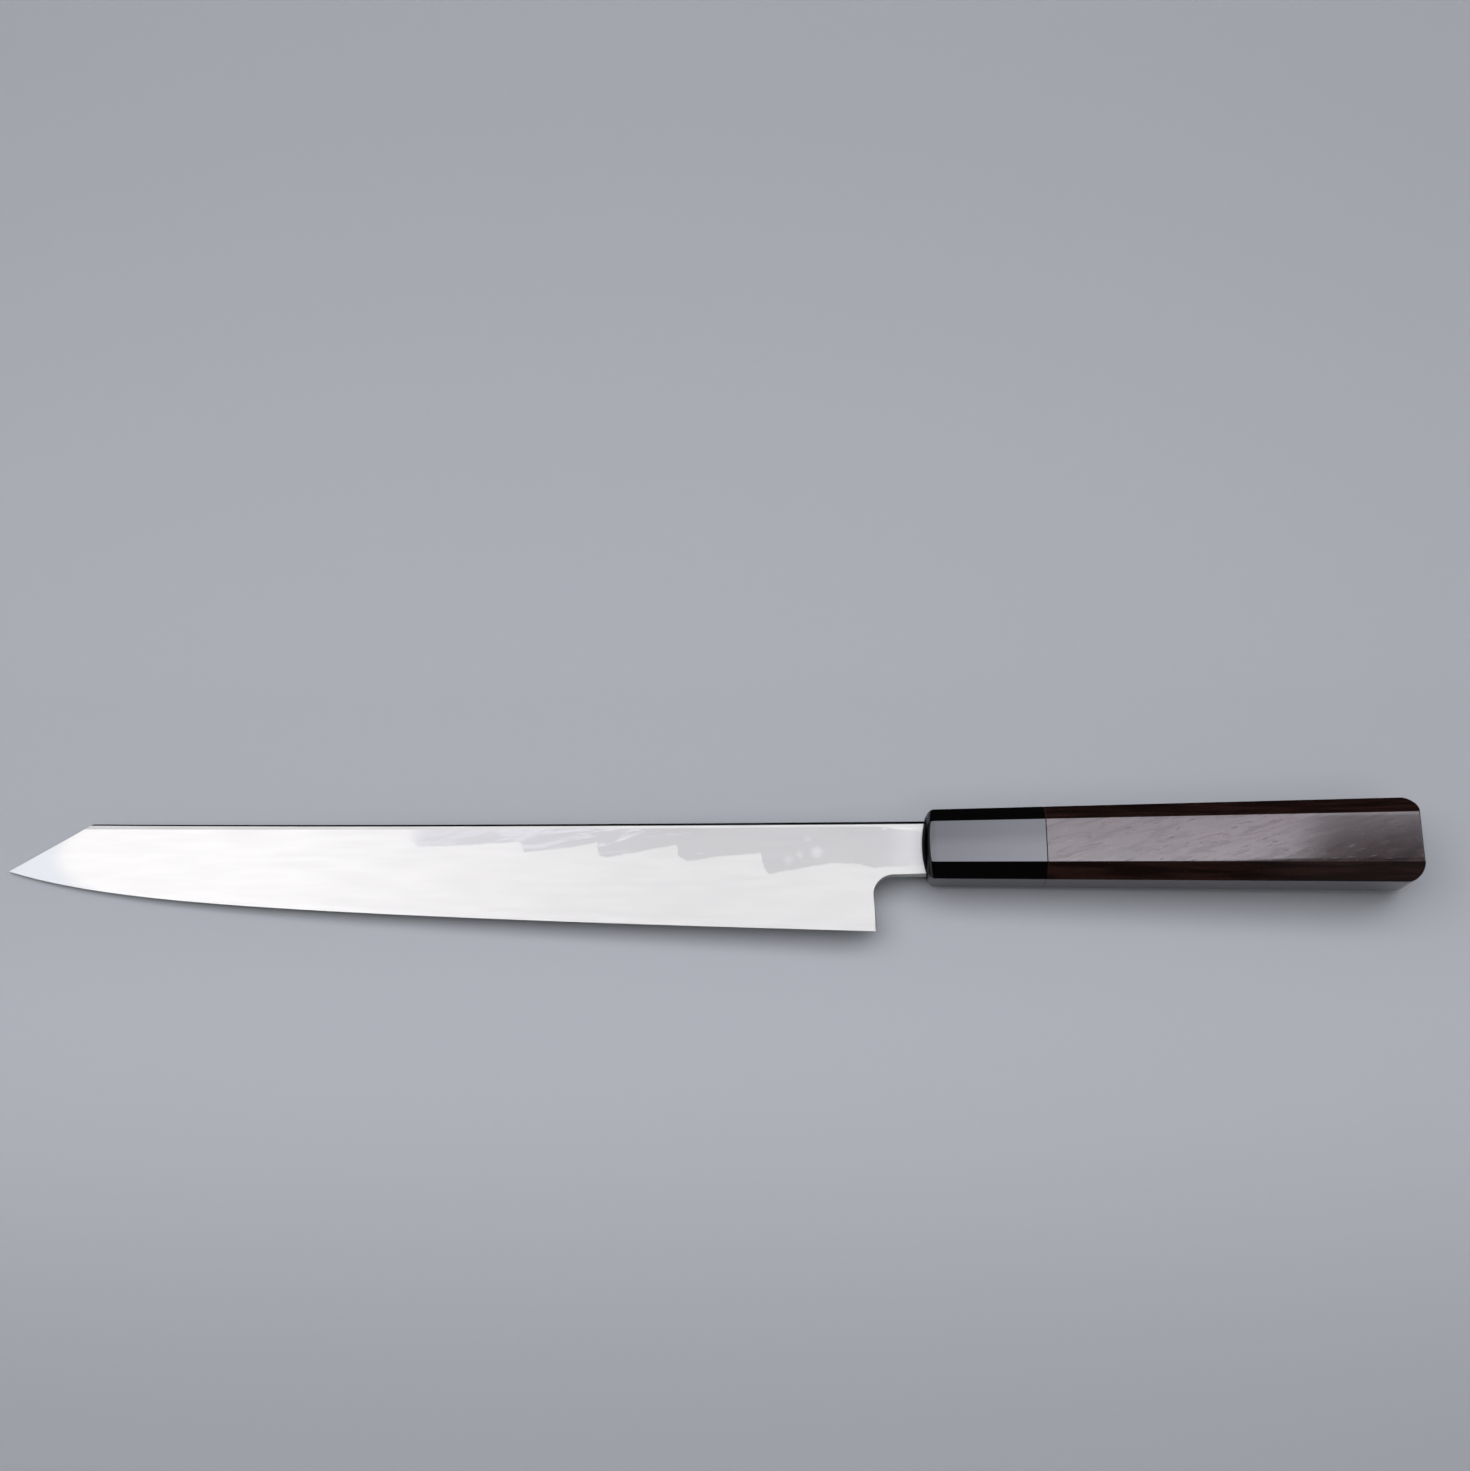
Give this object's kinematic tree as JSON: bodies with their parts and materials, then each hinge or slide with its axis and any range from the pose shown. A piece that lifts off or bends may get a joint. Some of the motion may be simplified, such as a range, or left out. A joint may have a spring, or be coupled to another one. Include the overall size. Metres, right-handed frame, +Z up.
{
  "type": "yanagiba knife",
  "caption": "Long single-bevel slicing knife with a clipped tip, hollow-ground back, temper line, black horn ferrule and a tapered octagonal rosewood grip, lying on its side.",
  "frame": {"origin": "on the surface the knife lies on, under the middle of its box", "axes": "+X along the knife towards the butt, so the tip is at -X; +Y towards the spine; +Z up, the way the hollow back faces"},
  "size_m": [0.4308, 0.0386, 0.0255],
  "materials": {
    "polished_steel": "polished",
    "black_horn": "satin",
    "rosewood": "satin",
    "pale_hardwood": "matte",
    "bedding_resin": "matte",
    "black_sealant": "satin"
  },
  "bodies": {
    "root": {"blade": "polished_steel", "ferrule": "black_horn", "grip": "rosewood", "core_dowel": "pale_hardwood", "tang_bedding": "bedding_resin", "mouth_seal": "black_sealant"}
  },
  "joints": []
}
